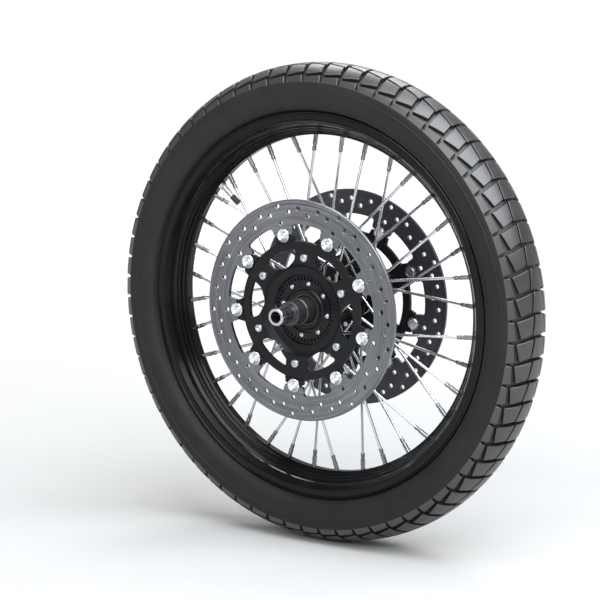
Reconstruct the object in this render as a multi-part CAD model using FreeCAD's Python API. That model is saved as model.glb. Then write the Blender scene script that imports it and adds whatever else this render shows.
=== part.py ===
import FreeCAD, Part
import os, math

V = FreeCAD.Vector
os.makedirs("parts", exist_ok=True)

# ---------------------------------------------------------------- dimensions
# Row frame (mm): origin at the wheel's centre, +Y is the spin axis, +Z is up.
# The right side of the wheel is at -Y, the left side is at +Y.

# tyre and rim (21 inch rim, 2.50 inch between the flanges)
TYRE_R = 350.0
RIM_IN_R = 246.5
RIM_WELL_R = 250.2
SEAT_R = 267.5

# spokes
N_CROSS = 9               # pattern repeats nine times, four spokes each: 36 spokes
PHASE = 74.4              # angle of the first nipple
SPOKE_R = 2.0
HOLE_R_HUB = 36.0         # radius of the spoke-hole circle in the hub flanges
SWEEP = 60.0              # angle from a nipple to its hub hole
RIM_Y = 1.7               # nipples sit this far off the centre plane
OUT_Y = 45.4              # elbow plane of the spokes that run outside the flange
IN_Y = 33.8               # elbow plane of the spokes that run inside the flange
FL_Y0, FL_Y1 = 36.5, 40.5
FL_R = 41.0
NIP_R = 3.4

# brake disc
DISC_R = 160.0
DISC_WIN_R = 124.5
DISC_T = 5.0
DISC_Y = 72.0             # outer face of the disc
BOB_N = 9
BOB_PCR = 110.0
BOB_A0 = 24.7
SPOOL_R = 7.9
HOLE_D = 6.6

# disc carrier
CAR_R = 100.3
CAR_Y = 70.0              # outer face of the carrier ring
BOLT_N = 6
BOLT_PCR = 77.6
BOLT_A0 = 24.4

# axle and bearings (25 x 47 x 12 deep-groove bearings)
AXLE_R = 12.5
AXLE_BORE = 8.5
AXLE_Y = 133.0
SPC_R = 19.0
SPC_Y = 100.0
BRG_Y0, BRG_Y1 = 40.0, 52.0
BRG_OR = 23.5
BALL_R = 3.2
BALL_PCR = 18.0
BALL_N = 10
SEAL_Y1 = 59.0

VALVE_A = 139.4


# ---------------------------------------------------------------- helpers
def save(name, shapes):
    if not isinstance(shapes, (list, tuple)):
        shapes = [shapes]
    solids = []
    for s in shapes:
        solids += s.Solids
    out = solids[0] if len(solids) == 1 else Part.makeCompound(solids)
    for i, s in enumerate(solids):
        if not s.isValid() or s.Volume <= 0:
            print("BAD", name, i, s.isValid(), s.Volume)
    out.exportStep("parts/" + name + ".step")
    print(name, len(solids), round(sum(s.Volume for s in solids), 1))


def rev(pts):
    """closed polygon of (radius, y) turned about the spin axis"""
    p = [V(r, y, 0) for r, y in pts]
    p.append(p[0])
    f = Part.Face(Part.makePolygon(p))
    s = f.revolve(V(0, 0, 0), V(0, 1, 0), 360)
    return s if s.ShapeType == "Solid" else Part.Solid(s)


def ring(r0, r1, y0, y1):
    o = Part.makeCylinder(r1, y1 - y0, V(0, y0, 0), V(0, 1, 0))
    return o.cut(Part.makeCylinder(r0, y1 - y0 + 2, V(0, y0 - 1, 0), V(0, 1, 0)))


def polar(r, a, y=0.0):
    return V(r * math.cos(math.radians(a)), y, r * math.sin(math.radians(a)))


def cyl(r, y0, y1, pr=0.0, a=0.0):
    return Part.makeCylinder(r, y1 - y0, polar(pr, a, y0), V(0, 1, 0))


def turn(s, a):
    c = s.copy()
    c.rotate(V(0, 0, 0), V(0, 1, 0), -a)
    return c


def mirror(s):
    return s.mirror(V(0, 0, 0), V(0, 1, 0))


def plan(pts, y0, y1):
    """closed outline of straight lines between (radius, angle) points, extruded from y0 to y1"""
    p = [polar(r, a, y0) for r, a in pts]
    p.append(p[0])
    return Part.Face(Part.makePolygon(p)).extrude(V(0, y1 - y0, 0))


def arc_plan(segs, y0, y1):
    """outline of segments in the wheel plane. ('l', P, Q) line, ('a', P, M, Q) arc"""
    e = []
    for s in segs:
        P = [V(p[0], y0, p[1]) for p in s[1:]]
        if s[0] == "l":
            e.append(Part.LineSegment(P[0], P[1]).toShape())
        else:
            e.append(Part.Arc(P[0], P[1], P[2]).toShape())
    return Part.Face(Part.Wire(e)).extrude(V(0, y1 - y0, 0))


def pxz(r, a):
    return (r * math.cos(math.radians(a)), r * math.sin(math.radians(a)))


def fuse(l):
    return l[0].multiFuse(l[1:]).removeSplitter() if len(l) > 1 else l[0]


def fillet_vertical(s, rad, test):
    """round the edges that run along Y and pass test(midpoint)"""
    ed = [e for e in s.Edges if len(e.Vertexes) == 2
          and abs(e.Vertexes[0].Point.x - e.Vertexes[1].Point.x) < 1e-4
          and abs(e.Vertexes[0].Point.z - e.Vertexes[1].Point.z) < 1e-4
          and abs(e.Vertexes[0].Point.y - e.Vertexes[1].Point.y) > 0.5
          and test(e.Vertexes[0].Point)]
    if not ed:
        return s
    try:
        r = s.makeFillet(rad, ed)
        if r.isValid() and r.Solids:
            return r
    except Exception as ex:
        print("fillet skipped", rad, ex)
    return s


# ---------------------------------------------------------------- tyre
# outer skin from the right rim flange over the tread to the left rim flange,
# then back along the inner liner
outer = [(268.2, -31.2), (275.0, -31.7), (280.6, -32.4), (283.2, -34.4), (285.2, -37.6), (289.6, -40.9), (297.5, -44.4), (310.0, -47.0),
         (323.2, -46.5), (332.8, -42.2), (339.1, -35.0), (345.0, -24.0), (348.8, -12.0), (TYRE_R, 0)]
outer = outer + [(r, -y) for r, y in outer[-2::-1]]
inner = [(268.2, 20.5), (276.5, 26.0), (286.0, 32.5), (297.0, 38.2), (310.0, 41.2), (320.5, 40.6),
         (327.5, 36.0), (332.5, 27.0), (336.3, 15.0), (337.8, 0)]
inner = inner + [(r, -y) for r, y in inner[-2::-1]]
sp1 = Part.BSplineCurve()
sp1.interpolate([V(r, y, 0) for r, y in outer])
sp2 = Part.BSplineCurve()
sp2.interpolate([V(r, y, 0) for r, y in inner])
# each bead: flat seat from the heel to the toe
e = [sp1.toShape(),
     Part.LineSegment(V(268.2, 31.2, 0), V(SEAT_R + 0.02, 30.4, 0)).toShape(),
     Part.LineSegment(V(SEAT_R + 0.02, 30.4, 0), V(SEAT_R + 0.02, 21.0, 0)).toShape(),
     Part.LineSegment(V(SEAT_R + 0.02, 21.0, 0), V(268.2, 20.5, 0)).toShape(),
     sp2.toShape(),
     Part.LineSegment(V(268.2, -20.5, 0), V(SEAT_R + 0.02, -21.0, 0)).toShape(),
     Part.LineSegment(V(SEAT_R + 0.02, -21.0, 0), V(SEAT_R + 0.02, -30.4, 0)).toShape(),
     Part.LineSegment(V(SEAT_R + 0.02, -30.4, 0), V(268.2, -31.2, 0)).toShape()]
tyre = Part.Face(Part.Wire(e)).revolve(V(0, 0, 0), V(0, 1, 0), 360)
save("tyre", tyre)

# ---------------------------------------------------------------- rim
half = [(RIM_IN_R, 0.0), (RIM_IN_R, 5.4), (248.9, 7.6), (250.8, 9.8), (252.4, 11.3), (253.1, 12.2),
        (253.9, 13.6), (255.2, 15.2), (256.6, 16.4), (257.2, 17.4), (258.0, 18.9), (260.0, 20.8),
        (261.2, 22.0), (261.7, 23.2), (262.2, 26.0), (263.6, 28.6), (265.6, 31.2), (267.4, 33.6),
        (268.2, 34.7), (269.6, 35.0), (270.8, 34.4), (277.8, 34.3),
        (278.8, 35.2), (279.6, 36.6), (280.9, 37.1), (281.9, 36.4), (282.3, 35.0), (281.6, 33.7), (279.9, 33.0),
        (270.2, 32.3), (267.9, 31.5), (SEAT_R, 30.4), (SEAT_R, 20.4), (268.2, 19.6), (267.4, 18.2),
        (265.2, 17.2), (260.6, 14.6), (255.8, 11.4), (252.2, 8.2), (RIM_WELL_R, 6.2), (RIM_WELL_R, 0.0)]
prof = half + [(r, -y) for r, y in half[-2:0:-1]]
rim = rev(prof)

# spoke lines: (side, sense, elbow plane)
types = [("right", -1, -1, OUT_Y), ("left", 1, -1, OUT_Y), ("right", -1, 1, IN_Y), ("left", 1, 1, IN_Y)]


def spoke_line(k):
    side, s, sense, ey = types[k]
    a = PHASE - 10.0 * k
    N = polar(RIM_IN_R, a, s * RIM_Y)
    C = polar(HOLE_R_HUB, a + sense * SWEEP, s * ey)
    d = (N - C)
    d.normalize()
    return N, C, d, s, ey


def tube_path(pts, rad, bend):
    """round bar along two straight runs joined by a tangent arc"""
    A, C, B = pts
    u = (C - A); u.normalize()
    w = (B - C); w.normalize()
    ang = u.getAngle(w)
    t = bend * math.tan(ang / 2)
    P = C - u * t
    Q = C + w * t
    h = (w - u); h.normalize()
    cen = C + h * (bend / math.cos(ang / 2))
    m = (C - cen); m.normalize()
    M = cen + m * bend
    wire = Part.Wire([Part.LineSegment(A, P).toShape(), Part.Arc(P, M, Q).toShape(),
                      Part.LineSegment(Q, B).toShape()])
    prof = Part.Wire([Part.makeCircle(rad, A, u)])
    s = wire.makePipeShell([prof], True, False)
    return s


rim_drills = []
groups = {"spokes_right_outer": [], "spokes_right_inner": [], "spokes_left_outer": [], "spokes_left_inner": []}
nipples = {"right": [], "left": []}
for k in range(4):
    N, C, d, s, ey = spoke_line(k)
    outside = ey > FL_Y1
    # the head sits on the far side of the flange from the elbow
    if outside:
        A = V(C.x, s * (FL_Y0 - 0.1), C.z)
        head = Part.makeCone(2.3, 3.5, 1.6, V(C.x, s * (FL_Y0 - 0.06), C.z), V(0, -s, 0))
    else:
        A = V(C.x, s * (FL_Y1 + 0.1), C.z)
        head = Part.makeCone(2.3, 3.5, 1.6, V(C.x, s * (FL_Y1 + 0.06), C.z), V(0, s, 0))
    end = N + d * 2.0
    bar = tube_path((A, C, end), SPOKE_R, 3.2)
    sp = bar.fuse(head).removeSplitter()
    # nipple: head inside the rim well, round shank through the rim, square part, round collar
    P = N - d * 24.0
    parts = [Part.makeCone(2.75, 3.1, 1.2, P, d),
             Part.makeCylinder(3.1, 4.4, P + d * 1.2, d),
             Part.makeCone(3.1, 2.6, 0.8, P + d * 5.6, d),
             Part.makeCylinder(2.6, 2.2, P + d * 6.4, d),
             Part.makeCone(2.6, NIP_R, 1.0, P + d * 8.6, d),
             Part.makeCylinder(NIP_R, 19.7, P + d * 9.6, d),
             Part.makeCone(4.5, 3.4, 1.9, P + d * 29.3, d)]
    nip = parts[0].multiFuse(parts[1:]).removeSplitter()
    # two pairs of flats on the shank
    up = V(0, 1, 0).cross(d); up.normalize()
    vv = d.cross(up); vv.normalize()
    for q in (0, 1, 2, 3):
        n = up if q % 2 == 0 else vv
        n = n if q < 2 else n * -1
        b = Part.makeBox(10, 10, 11.0)
        m = FreeCAD.Matrix()
        t = d.cross(n)
        o = P + d * 11.0 + n * 2.85 - t * 5
        m.A11, m.A21, m.A31 = n.x, n.y, n.z
        m.A12, m.A22, m.A32 = t.x, t.y, t.z
        m.A13, m.A23, m.A33 = d.x, d.y, d.z
        m.A14, m.A24, m.A34 = o.x, o.y, o.z
        b = b.transformGeometry(m) if m.determinant() > 0 else None
        if b is None:
            m.A12, m.A22, m.A32 = -t.x, -t.y, -t.z
            o = P + d * 11.0 + n * 2.85 + t * 5
            m.A14, m.A24, m.A34 = o.x, o.y, o.z
            b = Part.makeBox(10, 10, 11.0).transformGeometry(m)
        nip = nip.cut(b)
    bore = Part.makeCylinder(SPOKE_R + 0.04, 28.0, P - d * 1.0, d)
    nip = nip.cut(bore)
    side = types[k][0]
    key = "spokes_%s_%s" % (side, "outer" if outside else "inner")
    drill = Part.makeCylinder(NIP_R + 0.1, 14.0, N - d * 3.0, d)
    for j in range(N_CROSS):
        a = -40.0 * j
        groups[key].append(turn(sp, a))
        nipples[side].append(turn(nip, a))
        rim_drills.append(turn(drill, a))
for kname, l in groups.items():
    save(kname, l)
save("spoke_nipples_right", nipples["right"])
save("spoke_nipples_left", nipples["left"])

vd = polar(1, VALVE_A)
rim_drills.append(Part.makeCylinder(4.2, 14, polar(244, VALVE_A), vd))
rim = rim.cut(Part.makeCompound(rim_drills))
save("rim", rim)

# rubber band that seals the nipple heads in the well
band = rev([(251.0, 6.9), (252.1, 8.0), (255.2, 9.2), (256.0, 8.4), (256.0, -8.4),
            (255.2, -9.2), (252.1, -8.0), (251.0, -6.9), (254.6, -6.9), (254.6, 6.9)])
band = band.cut(Part.makeCylinder(5.3, 14, polar(245, VALVE_A), vd))
save("rim_sealing_band", band)

# ---------------------------------------------------------------- valve
def vp(r):
    return polar(r, VALVE_A)


def hexprism(af, h, base, direction):
    r = af / 2 / math.cos(math.radians(30))
    c = Part.makeCylinder(r, h, base, direction)
    pts = []
    z = V(0, 0, 1)
    rot = FreeCAD.Rotation(z, direction)
    for i in range(6):
        p = rot.multVec(V(r * math.cos(math.radians(60 * i)), r * math.sin(math.radians(60 * i)), 0))
        pts.append(base + p)
    pts.append(pts[0])
    return Part.Face(Part.makePolygon(pts)).extrude(direction * h)


dn = vd * -1
# stem: flange in the well, threaded neck through the rim, narrow nose
stem = Part.makeCylinder(6.0, 1.6, vp(252.6), vd)
stem = stem.fuse(Part.makeCylinder(4.0, 252.7 - 226.0, vp(226.0), vd))
stem = stem.fuse(Part.makeCylinder(3.1, 226.1 - 212.0, vp(212.0), vd))
stem = stem.removeSplitter()
stem = stem.cut(Part.makeCylinder(1.5, 60, vp(205.0), vd))
stem = stem.cut(Part.makeCylinder(2.2, 14.0, vp(211.0), vd))
save("valve_stem", stem)
gas = Part.makeCylinder(5.0, 252.58 - RIM_WELL_R - 0.02, vp(RIM_WELL_R + 0.04), vd).cut(Part.makeCylinder(4.05, 6, vp(248), vd))
save("valve_gasket", gas)
nut = hexprism(12.0, 4.5, vp(241.6), vd).cut(Part.makeCylinder(4.05, 10, vp(239), vd))
save("valve_nut", nut)
# core body is a tube in the stem, with a sliding pin in it
core = Part.makeCylinder(2.15, 8.7, vp(214.8), vd).cut(Part.makeCylinder(0.85, 12, vp(213), vd))
save("valve_core", core)
pin = Part.makeCylinder(0.75, 14.0, vp(213.0), vd)
pin = pin.fuse(Part.makeCylinder(1.2, 0.8, vp(212.6), vd)).fuse(Part.makeCylinder(1.35, 1.2, vp(225.3), vd)).removeSplitter()
save("valve_pin", pin)
cap = Part.makeCylinder(4.4, 14.0, vp(207.4), vd)
cap = cap.cut(Part.makeCylinder(3.16, 13.0, vp(209.4), vd))
flutes = [Part.makeCylinder(0.7, 10.5, vp(206.0) + FreeCAD.Rotation(V(0, 0, 1), vd).multVec(
    V(4.75 * math.cos(math.radians(30 * i)), 4.75 * math.sin(math.radians(30 * i)), 0)), vd) for i in range(12)]
cap = cap.cut(Part.makeCompound(flutes))
save("valve_cap", cap)

# ---------------------------------------------------------------- hub
hubhalf = [(25.5, 0), (25.5, 20), (26.4, 26), (28.6, 32), (31.4, FL_Y0), (FL_R - 0.9, FL_Y0), (FL_R, 37.4), (FL_R, 39.6),
           (FL_R - 0.9, FL_Y1), (31.0, FL_Y1 + 0.6), (30.2, 43.0), (30.6, 48.6), (33.0, 49.6), (52.0, 49.8),
           (53.0, 50.8), (53.0, 55.0), (52.0, 56.0), (30.0, 56.0), (28.0, 58.0), (27.6, SEAL_Y1 + 0.6),
           (24.3, SEAL_Y1 + 0.6), (BRG_OR, SEAL_Y1), (BRG_OR, BRG_Y0), (21.0, BRG_Y0), (21.0, 36.0), (19.0, 30.0), (19.0, 0)]
prof = hubhalf + [(r, -y) for r, y in hubhalf[-2:0:-1]]
hub = rev(prof)
lugs = []
for i in range(BOLT_N):
    a = BOLT_A0 + 60 * i
    # arm from the hub ring to the bolt boss, its root turned a little ahead of the boss
    out = [(50.0, a - 17), (50.0, a - 9), (50.0, a), (50.0, a + 9), (68.0, a + 8.2), (80.0, a + 5.5),
           (80.0, a - 5.5), (68.0, a - 10.5)]
    arm = plan(out, 50.0, 57.2)
    boss = cyl(9.0, 50.0, 64.4, BOLT_PCR, a)
    web = plan([(68.6, a + 4.5), (79.0, a + 5.0), (79.0, a - 5.0), (68.6, a - 4.5)], 50.0, 62.0)
    lugs += [arm, boss, web]
lugs_side = lugs[0].multiFuse(lugs[1:])
hub = hub.multiFuse([lugs_side, mirror(lugs_side)]).removeSplitter()
cuts = []
for k in range(4):
    N, C, d, s, ey = spoke_line(k)
    for j in range(N_CROSS):
        c = Part.makeCylinder(SPOKE_R + 0.3, 8.0, V(C.x, s * 38.5 - 4.0, C.z), V(0, 1, 0))
        cuts.append(turn(c, -40.0 * j))
for i in range(BOLT_N):
    a = BOLT_A0 + 60 * i
    for s in (-1, 1):
        b = cyl(3.4, 51.8, 65.0, BOLT_PCR, a)
        cuts.append(b if s > 0 else mirror(b))
for i in range(8):
    b = cyl(1.5, 47.0, 57.0, 38.0, 261.0 + 45 * i)
    cuts.append(mirror(b))
hub = hub.cut(Part.makeCompound(cuts))
save("hub", hub)

# ---------------------------------------------------------------- disc carriers
def carrier_right():
    y = -1
    dish = rev([(50.8, -58.6), (60.0, -58.6), (65.4, -64.5), (112.0, -64.5), (112.0, -72.0), (101.2, -72.0),
                (100.4, -CAR_Y), (67.4, -CAR_Y), (62.6, -64.4), (60.6, -63.4), (51.9, -62.2), (50.8, -61.3)])
    keep = [ring(48.0, CAR_R, -80, -50)]
    for i in range(BOB_N):
        a = BOB_A0 + 40 * i
        keep.append(plan([(96.0, a - 10.2), (99.5, a - 9.6), (108.6, a - 7.9), (109.3, a - 4), (109.4, a), (109.3, a + 4),
                          (108.6, a + 7.9), (99.5, a + 9.6), (96.0, a + 10.2)], -80, -50))
    k = fuse(keep)
    k = fillet_vertical(k, 3.0, lambda p: abs(math.hypot(p.x, p.z) - CAR_R) < 1.2)
    body = dish.common(k)
    # the lugs are thinner than the ring: back face at -67
    body = body.cut(ring(101.6, 120, -67.0, -60))
    cut = []
    for i in range(BOLT_N):
        c = BOLT_A0 + 30 + 60 * i
        ro = 88.4
        s1 = 18.5
        P1, P2 = pxz(ro, c - s1), pxz(ro, c + s1)
        Q2, Q1 = pxz(74.6, c + 16.2), pxz(74.6, c - 16.2)
        m = pxz(64.8, c)
        cut.append(fillet_vertical(arc_plan([("a", P1, pxz(ro, c), P2), ("l", P2, Q2), ("a", Q2, m, Q1), ("l", Q1, P1)],
                                            -80, -50), 3.6, lambda p: True))
        cut.append(cyl(4.1, -80, -50, BOLT_PCR, BOLT_A0 + 60 * i))
    for i in range(BOB_N):
        cut.append(cyl(SPOOL_R + 0.03, -80, -50, BOB_PCR, BOB_A0 + 40 * i))
        # seat for the wave washer and the retaining ring
        cut.append(cyl(11.2, -67.0, -50, BOB_PCR, BOB_A0 + 40 * i))
    return body.cut(Part.makeCompound(cut))


car = carrier_right()
save("disc_carrier_right", car)
save("disc_carrier_left", mirror(car))

# ---------------------------------------------------------------- brake discs
def disc_right():
    y0, y1 = -DISC_Y, -DISC_Y + DISC_T
    body = ring(DISC_WIN_R, DISC_R, y0, y1)
    tabs = []
    for i in range(BOB_N):
        a = BOB_A0 + 40 * i
        tabs.append(plan([(127.0, a - 8.2), (116.0, a - 8.2), (111.6, a - 7.6), (111.0, a - 5), (110.8, a),
                          (111.0, a + 5), (111.6, a + 7.6), (116.0, a + 8.2), (127.0, a + 8.2)], y0, y1))
    b = fuse([body] + tabs)
    b = fillet_vertical(b, 4.0, lambda p: abs(math.hypot(p.x, p.z) - DISC_WIN_R) < 0.8)
    b = fillet_vertical(b, 1.6, lambda p: abs(math.hypot(p.x, p.z) - 111.6) < 0.2)
    cut = []
    for i in range(BOB_N):
        a = BOB_A0 + 40 * i
        cut.append(cyl(SPOOL_R + 0.08, y0 - 1, y1 + 1, BOB_PCR, a))
        for da, r in ((0, 127.7), (0, 152.6), (-6.667, 142.4), (-13.333, 147.0), (-20, 137.2), (-26.667, 147.0), (-33.333, 142.4)):
            cut.append(cyl(HOLE_D / 2, y0 - 1, y1 + 1, r, a + da))
            cut.append(Part.makeCone(HOLE_D / 2 + 0.4, HOLE_D / 2 - 0.05, 0.45, polar(r, a + da, y0), V(0, 1, 0)))
            cut.append(Part.makeCone(HOLE_D / 2 - 0.05, HOLE_D / 2 + 0.4, 0.45, polar(r, a + da, y1 - 0.45), V(0, 1, 0)))
    b = b.cut(Part.makeCompound(cut))
    ed = [e for e in b.Edges if isinstance(e.Curve, Part.Circle) and abs(e.Curve.Radius - DISC_R) < 1e-3]
    return b.makeChamfer(0.9, ed)


dr = disc_right()
save("brake_disc_right", dr)
save("brake_disc_left", mirror(dr))

# ---------------------------------------------------------------- bobbins, wave washers, retaining rings
bob, wav, ret = [], [], []
bp = [(0.0, -70.8), (1.7, -70.8), (1.7, -73.3), (2.1, -73.8), (3.2, -73.8), (3.7, -73.3), (3.9, -72.5), (4.7, -72.4),
      (8.1, -74.2), (9.2, -74.4), (9.9, -73.7), (9.9, -72.3),
      (SPOOL_R, -72.3), (SPOOL_R, -63.4), (7.3, -62.8), (4.4, -62.8), (4.0, -63.6), (0.0, -63.6)]
b0 = rev([(r, y) for r, y in bp])
wpts = []
NL = 10
for i in range(NL * 6):
    t = 2 * math.pi * i / (NL * 6)
    rr = 9.6 + 0.75 * math.cos(NL * t)
    wpts.append(V(rr * math.cos(t), -66.5, rr * math.sin(t)))
wpts.append(wpts[0])
w0 = Part.Face(Part.makePolygon(wpts)).extrude(V(0, 0.7, 0)).cut(Part.makeCylinder(SPOOL_R + 0.05, 3, V(0, -68, 0), V(0, 1, 0)))
r0 = ring(SPOOL_R + 0.02, 9.0, -65.7, -64.7)
for i in range(BOB_N):
    c = polar(BOB_PCR, BOB_A0 + 40 * i)
    for base, l in ((b0, bob), (w0, wav), (r0, ret)):
        s = base.copy()
        s.rotate(V(0, 0, 0), V(0, 1, 0), -17 * i)
        s.translate(c)
        l.append(s)
save("bobbins_right", bob)
save("bobbins_left", [mirror(s) for s in bob])
save("wave_washers_right", wav)
save("wave_washers_left", [mirror(s) for s in wav])
save("retaining_rings_right", ret)
save("retaining_rings_left", [mirror(s) for s in ret])

# ---------------------------------------------------------------- disc bolts
bl = []
hexcut = hexprism(6.0, 3.4, V(0, -76.0, 0), V(0, 1, 0))
for i in range(BOLT_N):
    s = rev([(0, -75.4), (4.4, -75.4), (5.5, -74.7), (6.1, -73.2), (6.2, -70.02), (3.32, -70.02), (3.32, -53.0), (0, -53.0)])
    s = s.cut(hexcut)
    s.rotate(V(0, 0, 0), V(0, 1, 0), -23 * i)
    s.translate(polar(BOLT_PCR, BOLT_A0 + 60 * i))
    bl.append(s)
save("disc_bolts_right", bl)
save("disc_bolts_left", [mirror(s) for s in bl])

# ---------------------------------------------------------------- wheel-speed ring and its screws
tone = ring(33.5, 49.2, -58.2, -56.02)
slots = []
for i in range(48):
    c = polar(0, 0)
    a = 7.5 * i
    slots.append(plan([(42.6, a - 2.2), (42.6, a + 2.2), (47.6, a + 2.2), (47.6, a - 2.2)], -59, -55))
for i in range(8):
    slots.append(cyl(2.1, -59, -55, 38.0, 261.0 + 45 * i))
tone = tone.cut(Part.makeCompound(slots))
save("speed_sensor_ring", tone)
sc = []
for i in range(8):
    s = rev([(0, -60.4), (2.0, -60.4), (3.4, -59.4), (3.4, -58.22), (1.45, -58.22), (1.45, -49.0), (0, -49.0)])
    s = s.cut(hexprism(2.4, 1.2, V(0, -60.5, 0), V(0, 1, 0)))
    s.translate(polar(38.0, 261.0 + 45 * i))
    sc.append(s)
save("sensor_ring_screws", sc)

# ---------------------------------------------------------------- bearings
def bearing(y0):
    yc = y0 + 6.0
    inr = ring(AXLE_R + 0.03, 15.7, yc - 6, yc + 6).cut(Part.makeTorus(BALL_PCR, BALL_R + 0.1, V(0, yc, 0), V(0, 1, 0)))
    outr = ring(20.3, BRG_OR - 0.05, yc - 6, yc + 6).cut(Part.makeTorus(BALL_PCR, BALL_R + 0.1, V(0, yc, 0), V(0, 1, 0)))
    cage = ring(16.5, 19.5, yc - 4.1, yc + 4.1)
    balls, holes = [], []
    for i in range(BALL_N):
        p = polar(BALL_PCR, 36 * i, yc)
        balls.append(Part.makeSphere(BALL_R, p))
        holes.append(Part.makeCylinder(BALL_R + 0.12, 8.0, polar(14.0, 36 * i, yc), polar(1, 36 * i)))
    cage = cage.cut(Part.makeCompound(holes))
    seals = [ring(16.0, 20.32, yc - 5.7, yc - 4.9), ring(16.0, 20.32, yc + 4.9, yc + 5.7)]
    grooves = Part.makeCompound([ring(20.0, 20.34, yc - 5.72, yc - 4.88), ring(20.0, 20.34, yc + 4.88, yc + 5.72)])
    outr = outr.cut(grooves)
    return inr, outr, cage, balls, seals


for nm, y0 in (("right", -BRG_Y1), ("left", BRG_Y0)):
    inr, outr, cage, balls, seals = bearing(y0)
    save("bearing_inner_race_" + nm, inr)
    save("bearing_outer_race_" + nm, outr)
    save("bearing_cage_" + nm, cage)
    save("bearing_balls_" + nm, balls)
    save("bearing_seals_" + nm, seals)

# rubber shaft seals, their lips run on the wheel spacers
sl = rev([(SPC_R + 0.08, 56.2), (SPC_R + 0.08, 56.9), (20.2, 57.8), (20.6, SEAL_Y1 - 0.1), (BRG_OR - 0.03, SEAL_Y1 - 0.1),
          (BRG_OR - 0.03, 53.4), (21.8, 53.4), (21.4, 57.0), (20.6, 56.8), (20.0, 55.6)])
save("shaft_seal_left", sl)
save("shaft_seal_right", mirror(sl))

# ---------------------------------------------------------------- axle group
dist = ring(AXLE_R + 0.4, 15.2, -BRG_Y0, BRG_Y0)
save("distance_tube", dist)
spc = rev([(AXLE_R + 0.05, BRG_Y1), (15.4, BRG_Y1), (15.4, 53.0), (SPC_R - 0.6, 53.0), (SPC_R, 53.6), (SPC_R, 78.0),
           (SPC_R - 1.4, 79.4), (SPC_R - 1.4, 99.2), (SPC_R - 2.2, SPC_Y), (AXLE_R + 0.05, SPC_Y)])
save("wheel_spacer_left", spc)
save("wheel_spacer_right", mirror(spc))
# hollow wheel axle, plain where the fork feet clamp it, threaded tip on the left
axle = rev([(AXLE_BORE, -AXLE_Y), (AXLE_R - 0.8, -AXLE_Y), (AXLE_R, -AXLE_Y + 0.8),
            (AXLE_R, -100.6), (AXLE_R - 0.6, -100.6), (AXLE_R - 0.6, -99.4), (AXLE_R, -99.4),
            (AXLE_R, -36.0), (AXLE_R - 0.4, -35.6), (AXLE_R - 0.4, 35.6), (AXLE_R, 36.0),
            (AXLE_R, 99.4), (AXLE_R - 0.6, 99.4), (AXLE_R - 0.6, 100.6), (AXLE_R, 100.6),
            (AXLE_R, 122.0), (AXLE_R - 0.8, 122.8),
            (10.6, 123.2), (9.4, 124.4), (10.0, 125.6), (10.0, 143.0), (9.2, 144.0), (AXLE_BORE, 144.0)])
save("axle", axle)
print("done")
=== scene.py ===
import math

import bmesh
import bpy
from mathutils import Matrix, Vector


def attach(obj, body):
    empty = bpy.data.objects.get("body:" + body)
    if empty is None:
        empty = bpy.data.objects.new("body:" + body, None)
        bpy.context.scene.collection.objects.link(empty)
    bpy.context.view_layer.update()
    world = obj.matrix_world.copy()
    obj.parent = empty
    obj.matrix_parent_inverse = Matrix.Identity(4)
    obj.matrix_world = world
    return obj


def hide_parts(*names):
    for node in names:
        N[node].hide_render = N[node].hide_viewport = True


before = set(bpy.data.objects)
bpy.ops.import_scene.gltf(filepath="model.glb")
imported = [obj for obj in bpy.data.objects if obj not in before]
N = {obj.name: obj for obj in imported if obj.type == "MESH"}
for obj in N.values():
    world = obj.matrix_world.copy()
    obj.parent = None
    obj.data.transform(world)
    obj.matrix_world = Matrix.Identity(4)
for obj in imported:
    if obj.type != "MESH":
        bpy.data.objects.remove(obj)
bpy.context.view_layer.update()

MM = 0.001

# ---------------------------------------------------------------- materials


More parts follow.
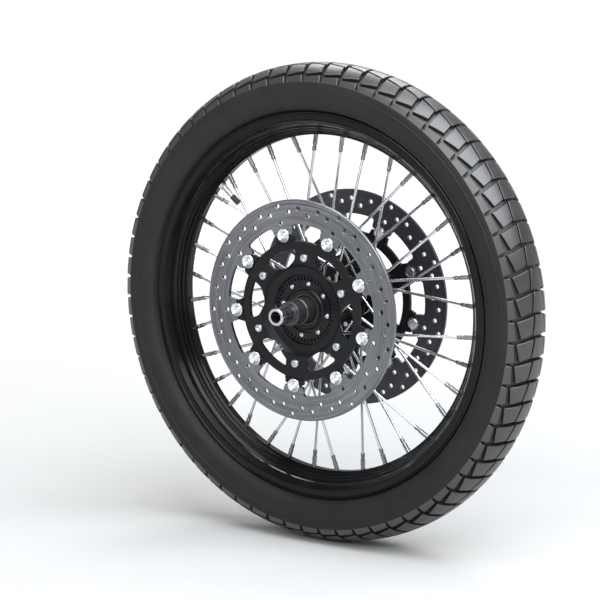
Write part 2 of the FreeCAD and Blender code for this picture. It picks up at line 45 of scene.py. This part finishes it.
class Nodes:
    """Short hand for one material's node tree."""

    def __init__(self, name):
        self.m = bpy.data.materials.new(name)
        self.m.use_nodes = True
        self.t = self.m.node_tree
        self.t.nodes.clear()
        self.out = self.t.nodes.new("ShaderNodeOutputMaterial")
        self.b = self.t.nodes.new("ShaderNodeBsdfPrincipled")
        self.link(self.b.outputs[0], self.out.inputs[0])
        self.co = self.t.nodes.new("ShaderNodeTexCoord").outputs["Object"]

    def link(self, a, b):
        self.t.links.new(a, b)

    def put(self, socket, value):
        if hasattr(value, "is_linked"):
            self.link(value, socket)
        else:
            socket.default_value = value

    def math(self, op, a, b=0.0, clamp=False):
        n = self.t.nodes.new("ShaderNodeMath")
        n.operation = op
        n.use_clamp = clamp
        self.put(n.inputs[0], a)
        self.put(n.inputs[1], b)
        return n.outputs[0]

    def xyz(self, vec):
        n = self.t.nodes.new("ShaderNodeSeparateXYZ")
        self.link(vec, n.inputs[0])
        return n.outputs

    def vec(self, x, y, z):
        n = self.t.nodes.new("ShaderNodeCombineXYZ")
        for s, v in zip(n.inputs, (x, y, z)):
            self.put(s, v)
        return n.outputs[0]

    def noise(self, scale, detail=3.0, rough=0.55, vec=None, distort=0.0):
        n = self.t.nodes.new("ShaderNodeTexNoise")
        self.link(vec if vec is not None else self.co, n.inputs["Vector"])
        n.inputs["Scale"].default_value = scale
        n.inputs["Detail"].default_value = detail
        n.inputs["Roughness"].default_value = rough
        n.inputs["Distortion"].default_value = distort
        return n.outputs[0]

    def voronoi(self, scale, vec=None):
        n = self.t.nodes.new("ShaderNodeTexVoronoi")
        self.link(vec if vec is not None else self.co, n.inputs["Vector"])
        n.inputs["Scale"].default_value = scale
        return n.outputs["Distance"]

    def ramp(self, fac, *stops):
        n = self.t.nodes.new("ShaderNodeValToRGB")
        self.link(fac, n.inputs[0])
        e = n.color_ramp.elements
        while len(e) < len(stops):
            e.new(0.5)
        for el, (p, c) in zip(e, stops):
            el.position = p
            el.color = (*c, 1) if isinstance(c, tuple) else (c, c, c, 1)
        return n.outputs[0]

    def span(self, fac, lo, hi, a=0.0, b=1.0):
        n = self.t.nodes.new("ShaderNodeMapRange")
        self.link(fac, n.inputs["Value"])
        for k, v in (("From Min", a), ("From Max", b), ("To Min", lo), ("To Max", hi)):
            n.inputs[k].default_value = v
        return n.outputs[0]

    def mix(self, fac, a, b):
        n = self.t.nodes.new("ShaderNodeMix")
        n.data_type = "RGBA"
        self.put(n.inputs[0], fac)
        for s, v in ((n.inputs[6], a), (n.inputs[7], b)):
            if isinstance(v, tuple):
                s.default_value = (*v, 1)
            else:
                self.link(v, s)
        return n.outputs[2]

    def bump(self, height, strength, dist):
        n = self.t.nodes.new("ShaderNodeBump")
        n.inputs["Strength"].default_value = strength
        n.inputs["Distance"].default_value = dist
        self.link(height, n.inputs["Height"])
        last = self.b.inputs["Normal"]
        if last.is_linked:
            self.link(last.links[0].from_socket, n.inputs["Normal"])
        self.link(n.outputs[0], last)

    def set(self, **k):
        for name, v in k.items():
            self.put(self.b.inputs[name.replace("_", " ").title().replace("Ior", "IOR")], v)

    def color(self, c):
        self.put(self.b.inputs["Base Color"], c)

    def rough(self, r):
        self.put(self.b.inputs["Roughness"], r)

    def radial(self):
        """Radius and angle round the wheel's axis, in metres and turns."""
        x, y, z = self.xyz(self.co)[0:3]
        r = self.math("SQRT", self.math("ADD", self.math("MULTIPLY", x, x), self.math("MULTIPLY", z, z)))
        a = self.math("ARCTAN2", z, x)
        return r, y, a


MATS = {}


def rubber(name, dark, light, rlo, rhi, grain=0.00012, spec=0.42):
    n = Nodes(name)
    big = n.noise(22, 4, 0.6)
    fine = n.noise(520, 3, 0.6)
    both = n.math("ADD", n.math("MULTIPLY", big, 0.65), n.math("MULTIPLY", fine, 0.35))
    n.color(n.ramp(both, (0.3, dark), (0.7, light)))
    n.rough(n.span(both, rlo, rhi, 0.3, 0.7))
    n.b.inputs["Specular IOR Level"].default_value = spec
    n.bump(n.noise(1500, 2, 0.5), 0.35, grain)
    n.bump(n.noise(240, 3, 0.5), 0.25, 0.00018)
    return n


rubber("tyre_rubber", (0.0165, 0.0170, 0.0180), (0.0270, 0.0275, 0.0290), 0.50, 0.64)
# moulded circles on the sidewall, close together, as the mould's turning leaves them
side = Nodes("tyre_sidewall")
r, y, a = side.radial()
turn = side.noise(1.0, 2, 0.5, side.vec(side.math("MULTIPLY", r, 1900), side.math("MULTIPLY", y, 60), side.math("MULTIPLY", a, 0.6)))
big = side.noise(18, 4, 0.6)
side.color(side.ramp(big, (0.3, (0.0062, 0.0064, 0.0072)), (0.72, (0.0112, 0.0116, 0.0128))))
side.rough(side.span(big, 0.46, 0.6, 0.3, 0.7))
side.b.inputs["Specular IOR Level"].default_value = 0.28
side.bump(turn, 0.3, 0.00010)
side.bump(side.noise(900, 2, 0.5), 0.2, 0.00010)

# block tops: lighter than the grooves, partly dust and partly painted sheen
rubber("tread_top", (0.0090, 0.0093, 0.0102), (0.0180, 0.0184, 0.0198), 0.32, 0.44, 0.00012, 0.95)
rubber("tread_groove", (0.0070, 0.0072, 0.0080), (0.0130, 0.0133, 0.0142), 0.40, 0.52, 0.00012, 0.6)
rubber("seal_rubber", (0.0120, 0.0120, 0.0130), (0.0220, 0.0220, 0.0230), 0.45, 0.6)


def coated(name, dark, light, rlo, rhi, grain, size, coat=0.0, coat_rough=0.1, spec=0.5):
    """Anodised, painted or powder coated metal: even colour, fine grain, faint handling marks."""
    n = Nodes(name)
    cloud = n.noise(30, 4, 0.6)
    speck = n.noise(2200, 2, 0.5)
    both = n.math("ADD", n.math("MULTIPLY", cloud, 0.7), n.math("MULTIPLY", speck, 0.3))
    n.color(n.ramp(both, (0.3, dark), (0.7, light)))
    n.rough(n.span(both, rlo, rhi, 0.3, 0.7))
    n.b.inputs["Specular IOR Level"].default_value = spec
    if coat:
        n.b.inputs["Coat Weight"].default_value = coat
        n.b.inputs["Coat Roughness"].default_value = coat_rough
    n.bump(n.noise(size, 3, 0.55), 0.3, grain)
    return n


coated("black_anodised_rim", (0.0016, 0.0017, 0.0021), (0.0036, 0.0038, 0.0045), 0.15, 0.23, 0.00003, 700, spec=0.2)
coated("black_hub", (0.0030, 0.0031, 0.0035), (0.0070, 0.0072, 0.0078), 0.32, 0.44, 0.00014, 520, spec=0.28)
coated("carrier_black", (0.0036, 0.0039, 0.0045), (0.0074, 0.0079, 0.0088), 0.34, 0.46, 0.00006, 900, spec=0.2)
coated("cap_plastic", (0.0080, 0.0080, 0.0085), (0.0150, 0.0150, 0.0155), 0.36, 0.5, 0.0001, 900)
coated("spacer_dark", (0.0120, 0.0125, 0.0135), (0.0240, 0.0245, 0.0260), 0.26, 0.38, 0.00005, 900, 0.2, 0.2)


def metal(name, dark, light, rlo, rhi, cloud=45, fine=1400, bump=0.00003, stretch=None):
    """Bare metal: cloudy tone, fine scratches and uneven polish."""
    n = Nodes(name)
    c = n.noise(cloud, 4, 0.6)
    if stretch:
        x, y, z = n.xyz(n.co)[0:3]
        v = n.vec(*[n.math("MULTIPLY", s, k) for s, k in zip((x, y, z), stretch)])
        f = n.noise(1.0, 3, 0.6, v)
    else:
        f = n.noise(fine, 3, 0.6)
    both = n.math("ADD", n.math("MULTIPLY", c, 0.5), n.math("MULTIPLY", f, 0.5))
    n.color(n.ramp(both, (0.3, dark), (0.7, light)))
    n.rough(n.span(both, rlo, rhi, 0.3, 0.7))
    n.b.inputs["Metallic"].default_value = 1.0
    n.bump(f, 0.4, bump)
    return n


metal("bright_steel", (0.52, 0.53, 0.55), (0.74, 0.75, 0.77), 0.16, 0.28)
metal("nipple_steel", (0.15, 0.153, 0.162), (0.30, 0.305, 0.32), 0.2, 0.34)
metal("bobbin_metal", (0.62, 0.63, 0.65), (0.80, 0.81, 0.83), 0.16, 0.28)
metal("zinc_steel", (0.44, 0.47, 0.52), (0.62, 0.65, 0.70), 0.22, 0.36)
metal("spring_steel", (0.20, 0.205, 0.215), (0.34, 0.345, 0.36), 0.25, 0.4)
metal("sensor_ring", (0.016, 0.0165, 0.018), (0.036, 0.037, 0.040), 0.24, 0.36)
metal("bearing_steel", (0.62, 0.63, 0.65), (0.78, 0.79, 0.81), 0.12, 0.22)
metal("cage_brass", (0.55, 0.38, 0.14), (0.74, 0.54, 0.24), 0.24, 0.38)
metal("tube_alu", (0.56, 0.57, 0.58), (0.72, 0.73, 0.74), 0.3, 0.44, stretch=(60, 2600, 60))
metal("axle_steel", (0.42, 0.43, 0.45), (0.60, 0.61, 0.63), 0.2, 0.32, stretch=(60, 3000, 60))
metal("valve_metal", (0.50, 0.50, 0.49), (0.68, 0.68, 0.66), 0.2, 0.32)

# brake discs: circular grinding marks of uneven depth and a worn track, with painted shade on the faces turned to
# the hub
disc = Nodes("disc_steel")
r, y, a = disc.radial()
fine = disc.noise(1.0, 2, 0.6, disc.vec(disc.math("MULTIPLY", r, 2600), disc.math("MULTIPLY", y, 90), disc.math("MULTIPLY", a, 1.3)))
wide = disc.noise(1.0, 3, 0.6, disc.vec(disc.math("MULTIPLY", r, 420), disc.math("MULTIPLY", y, 40), disc.math("MULTIPLY", a, 0.8)))
patch = disc.noise(14, 3, 0.6)
tone = disc.math("ADD", disc.math("ADD", disc.math("MULTIPLY", fine, 0.5), disc.math("MULTIPLY", wide, 0.35)), disc.math("MULTIPLY", patch, 0.2))
worn = disc.ramp(tone, (0.34, (0.072, 0.075, 0.083)), (0.5, (0.150, 0.154, 0.168)), (0.66, (0.275, 0.280, 0.294)))
# darker copy of the disc's tone: painted shade for the faces turned to the hub
painted_shade_tone = disc.ramp(tone, (0.34, (0.046, 0.048, 0.054)), (0.66, (0.100, 0.103, 0.112)))
# the faces turned to the hub are rougher and take painted shade, a darker colour standing in for the shade inside
# the wheel; the outer faces are ground bright
inward = disc.span(disc.math("ABSOLUTE", y), 0.0, 1.0, 0.0671, 0.0674)
disc.color(disc.mix(inward, painted_shade_tone, worn))
disc.rough(disc.math("SUBTRACT", disc.span(tone, 0.46, 0.58, 0.3, 0.7), disc.math("MULTIPLY", inward, 0.2)))
disc.b.inputs["Metallic"].default_value = 1.0
disc.b.inputs["Anisotropic"].default_value = 0.55
tg = disc.t.nodes.new("ShaderNodeTangent")
tg.direction_type = "RADIAL"
tg.axis = "Y"
disc.link(tg.outputs[0], disc.b.inputs["Tangent"])
disc.bump(fine, 0.6, 0.00003)

for m in bpy.data.materials:
    MATS[m.name] = m

plan = {}
for name, o in N.items():
    for s in o.material_slots:
        key = s.material.name.split(".")[0] if s.material else ""
        plan.setdefault(name, []).append(key)

# the fresh materials carry the slots' names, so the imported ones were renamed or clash: look them up by slot
FRESH = {}
for m in bpy.data.materials:
    if m.use_nodes and any(x.type == "TEX_NOISE" for x in m.node_tree.nodes):
        FRESH[m.name.split(".")[0]] = m
for name, o in N.items():
    for i, s in enumerate(o.material_slots):
        key = plan[name][i]
        if key in FRESH:
            s.material = FRESH[key]

# ---------------------------------------------------------------- tyre

# half section of the outer skin, crown to bead: radius and half width in mm
HALF = [(350.0, 0.0), (348.9, 12.0), (345.1, 24.0), (339.2, 35.0), (332.9, 42.2), (323.3, 46.5), (310.0, 47.0),
        (297.5, 44.4), (289.6, 40.9), (285.2, 37.6), (283.2, 34.4), (280.6, 32.4), (275.0, 31.7), (268.4, 31.2)]


def skin():
    """The section as a smooth dense line: list of (s, y, r), s measured from the crown, minus on the near side."""
    pts = [Vector((-w, r)) for r, w in reversed(HALF)] + [Vector((w, r)) for r, w in HALF[1:]]
    ext = [2 * pts[0] - pts[1]] + pts + [2 * pts[-1] - pts[-2]]
    out = []
    for i in range(1, len(ext) - 2):
        p0, p1, p2, p3 = ext[i - 1:i + 3]
        for k in range(24):
            t = k / 24
            out.append(0.5 * ((2 * p1) + (p2 - p0) * t + (2 * p0 - 5 * p1 + 4 * p2 - p3) * t * t
                              + (3 * p1 - p0 - 3 * p2 + p3) * t ** 3))
    out.append(ext[-2])
    s = [0.0]
    for a, b in zip(out, out[1:]):
        s.append(s[-1] + (b - a).length)
    mid = s[len(s) // 2]
    return [(v - mid, p.x, p.y) for v, p in zip(s, out)]


SKIN = skin()


def at(s, depth=0.0):
    """Point of the section at arc length s, depth mm under the skin: (y, r)."""
    lo, hi = 0, len(SKIN) - 1
    while hi - lo > 1:
        m = (lo + hi) // 2
        if SKIN[m][0] <= s:
            lo = m
        else:
            hi = m
    (s0, y0, r0), (s1, y1, r1) = SKIN[lo], SKIN[hi]
    t = (s - s0) / (s1 - s0)
    ty, tr = y1 - y0, r1 - r0
    ln = math.hypot(ty, tr)
    ny, nr = -tr / ln, ty / ln          # outward, because y grows along the line
    return y0 + (y1 - y0) * t - ny * depth, r0 + (r1 - r0) * t - nr * depth


GROOVE = 5.8
EDGE_S = 55.5
PITCH = 360.0 / 68
START = 44.47


def tyre():
    verts, faces, mats = [], [], []
    seg = 68 * 5

    # body: the groove floor between the two shoulders, the skin elsewhere, closed by the lining
    line = []
    s = SKIN[0][0]
    end = SKIN[-1][0]
    marks = [SKIN[0][0] + i * (end - SKIN[0][0]) / 84 for i in range(85)]
    marks += [-56.0, -55.4, -54.6, -51.6, -51.0, 51.0, 51.6, 54.6, 55.4, 56.0]
    ribs = [(-66.5, 0.55), (66.5, 0.55), (-96.0, 0.7), (96.0, 0.7)]
    for c, h in ribs:
        marks += [c - 1.6, c - 0.8, c + 0.8, c + 1.6]
    for s in sorted(set(round(m, 3) for m in marks)):
        if abs(s) <= 51.3:
            d = GROOVE
        elif abs(s) < 55.6:
            d = GROOVE * (55.6 - abs(s)) / 4.3
        else:
            d = 0.0
        for c, h in ribs:
            if abs(s - c) <= 0.81:
                d = -h
        line.append((*at(s, d), 2 if abs(s) < 55.5 else 0))
    lining = []
    for i in range(40):
        s = end - 2.0 - i * (end - SKIN[0][0] - 4.0) / 39
        lining.append((*at(s, 7.5 + (GROOVE if abs(s) < 50 else GROOVE * max(0.0, (60 - abs(s)) / 10) if abs(s) < 60 else 0.0)), 0))
    ring = line + lining
    n = len(ring)
    for k in range(seg):
        a = 2 * math.pi * k / seg
        ca, sa = math.cos(a), math.sin(a)
        for y, r, m in ring:
            verts.append((r * ca * MM, y * MM, r * sa * MM))
    for k in range(seg):
        k2 = (k + 1) % seg
        for i in range(n):
            j = (i + 1) % n
            faces.append((k * n + i, k2 * n + i, k2 * n + j, k * n + j))
            mats.append(ring[i][2] if ring[i][2] == ring[j][2] else 0)

    def block(c00, c10, c11, c01, a0, nu=5, nv=4, bevel=0.55, draft=0.9, sink=False):
        """One tread block. Corners are (s, degrees): c00-c10 is the edge at v 0, c01-c11 the edge at v 1."""
        wid = max(1e-6, (abs(c10[0] - c00[0]) + abs(c11[0] - c01[0])) / 2)
        hgt = max(1e-6, (abs(c01[1] - c00[1]) + abs(c11[1] - c10[1])) / 2 * math.pi / 180 * 345)

        def steps(size, count):
            i, e = bevel / size, draft / size
            return [-e, 0.0] + [i + (1 - 2 * i) * t / count for t in range(count + 1)] + [1.0, 1.0 + e]

        us, vs = steps(wid, nu), steps(hgt, nv)

        def deep(i, m, first=False):
            # with first set, the edge at index 0 runs flush into the sidewall
            if i in (0, m - 1):
                return GROOVE + 1.6
            if first and i in (1, 2):
                return (0.35, 0.0)[i - 1]
            return 0.5 if i in (1, m - 2) else 0.0

        base = len(verts)
        for i, u in enumerate(us):
            for j, v in enumerate(vs):
                s = (c00[0] * (1 - u) + c10[0] * u) * (1 - v) + (c01[0] * (1 - u) + c11[0] * u) * v
                a = (c00[1] * (1 - u) + c10[1] * u) * (1 - v) + (c01[1] * (1 - u) + c11[1] * u) * v
                y, r = at(s, max(deep(i, len(us), sink), deep(j, len(vs))))
                t = math.radians(a + a0)
                verts.append((r * math.cos(t) * MM, y * MM, r * math.sin(t) * MM))
        nv2 = len(vs)
        quads = []
        for i in range(len(us) - 1):
            for j in range(nv2 - 1):
                quads.append((base + i * nv2 + j, base + (i + 1) * nv2 + j, base + (i + 1) * nv2 + j + 1, base + i * nv2 + j + 1))
                # tops take the lighter rubber of dust and painted sheen; walls and the closing face take the groove
                # rubber
                wall = i in (0, len(us) - 2) or j in (0, nv2 - 2)
                mats.append(2 if wall else 1)
        loop = [base + j for j in range(nv2)] + [base + i * nv2 + nv2 - 1 for i in range(1, len(us))]
        loop += [base + (len(us) - 1) * nv2 + j for j in range(nv2 - 2, -1, -1)] + [base + i * nv2 for i in range(len(us) - 2, 0, -1)]
        quads.append(tuple(loop))
        mats.append(2)
        faces.extend(quads)

    for k in range(68):
        a0 = START + PITCH * k
        block((-10.5, 1.2), (10.5, 1.2), (15.4, -3.35), (-15.4, -3.35), a0, 6, 4)
        for g in (-1, 1):
            block((g * 43.0, 0.0), (g * 13.9, 1.05), (g * 17.6, -3.2), (g * 36.2, -4.05), a0, 6, 4)
            block((g * 56.3, 0.05), (g * 47.0, -0.1), (g * 44.2, -4.35), (g * 56.3, -4.75), a0, 2, 4, sink=True)

    me = bpy.data.meshes.new("tyre_tread_and_sidewall")
    me.from_pydata(verts, [], faces)
    for name in ("tyre_sidewall", "tread_top", "tread_groove"):
        me.materials.append(FRESH[name])
    me.polygons.foreach_set("material_index", mats)
    bm = bmesh.new()
    bm.from_mesh(me)
    bmesh.ops.recalc_face_normals(bm, faces=bm.faces)
    bm.to_mesh(me)
    bm.free()
    me.polygons.foreach_set("use_smooth", [True] * len(me.polygons))
    me.set_sharp_from_angle(angle=math.radians(34))
    me.update()
    o = bpy.data.objects.new("tyre_rubber_carcass", me)
    bpy.context.scene.collection.objects.link(o)
    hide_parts("tyre")
    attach(o, "wheel")
    return o


tyre()

# ---------------------------------------------------------------- stage, light, camera

FLOOR_Z = -0.3503
bm = bmesh.new()
rings = [0.0, 0.4, 0.8, 1.4, 2.4, 4.0, 8.0, 16.0, 32.0, 60.0]
prev = None
for rad in rings:
    if rad == 0.0:
        cur = [bm.verts.new((0, 0, FLOOR_Z))]
    else:
        cur = [bm.verts.new((rad * math.cos(2 * math.pi * i / 64), rad * math.sin(2 * math.pi * i / 64), FLOOR_Z)) for i in range(64)]
    if prev is not None:
        for i in range(64):
            j = (i + 1) % 64
            if len(prev) == 1:
                bm.faces.new((prev[0], cur[i], cur[j]))
            else:
                bm.faces.new((prev[i], cur[i], cur[j], prev[j]))
    prev = cur
me = bpy.data.meshes.new("floor")
bm.to_mesh(me)
bm.free()
floor = bpy.data.objects.new("floor", me)
bpy.context.scene.collection.objects.link(floor)
fm = Nodes("floor_paper")
fm.color(fm.ramp(fm.noise(3.0, 3, 0.5), (0.3, (0.455, 0.455, 0.455)), (0.7, (0.475, 0.475, 0.475))))
fm.rough(0.8)
# the paper glows further out, so that it stays pale where the lamps no longer reach it
fx, fy, fz = fm.xyz(fm.co)[0:3]
away = fm.math("SQRT", fm.math("ADD", fm.math("MULTIPLY", fx, fx), fm.math("MULTIPLY", fy, fy)))
fm.b.inputs["Emission Color"].default_value = (1, 1, 1, 1)
fm.put(fm.b.inputs["Emission Strength"], fm.span(away, 0.0, 0.80, 0.5, 3.4))
me.materials.append(fm.m)

world = bpy.data.worlds.new("studio")
bpy.context.scene.world = world
world.use_nodes = True
wt = world.node_tree
wt.nodes.clear()
wo = wt.nodes.new("ShaderNodeOutputWorld")
bg = wt.nodes.new("ShaderNodeBackground")
bg.inputs["Color"].default_value = (0.93, 0.965, 1.0, 1)
bg.inputs["Strength"].default_value = 0.43
wt.links.new(bg.outputs[0], wo.inputs[0])

A, E = math.radians(33.93), math.radians(10.04)
back = Vector((math.sin(A) * math.cos(E), -math.cos(A) * math.cos(E), math.sin(E)))
right = Vector((math.cos(A), math.sin(A), 0))
front = Vector((math.sin(A), -math.cos(A), 0))
target = Vector((-0.04808, 0.0, 0.0005))


def area(name, where, size, power, aim=Vector((0, 0, 0)), color=(1, 1, 1)):
    d = bpy.data.lights.new(name, "AREA")
    d.shape = "RECTANGLE"
    d.size, d.size_y = size
    d.energy = power
    d.color = color
    o = bpy.data.objects.new(name, d)
    o.location = where
    o.rotation_mode = "QUATERNION"
    o.rotation_quaternion = (aim - where).to_track_quat("-Z", "Y")
    bpy.context.scene.collection.objects.link(o)
    return o


UP = Vector((0, 0, 1))
area("key", Vector((1.12, -0.50, 2.02)), (3.0, 3.0), 172, color=(0.955, 0.98, 1.0))
area("front_soft", Vector((0.35, -2.35, 1.05)), (1.2, 0.9), 26)
area("back_soft", Vector((-0.9, 1.7, 1.9)), (1.4, 1.0), 30)

cd = bpy.data.cameras.new("camera")
cam = bpy.data.objects.new("camera", cd)
bpy.context.scene.collection.objects.link(cam)
cd.sensor_width = 36.0
cd.lens = 2521.6 / 600 * 36
cd.clip_start, cd.clip_end = 0.05, 200
cam.location = target + back * 3.684
cam.rotation_mode = "QUATERNION"
cam.rotation_quaternion = (-back).to_track_quat("-Z", "Y")
bpy.context.scene.camera = cam
bpy.context.scene.view_settings.view_transform = "Standard"
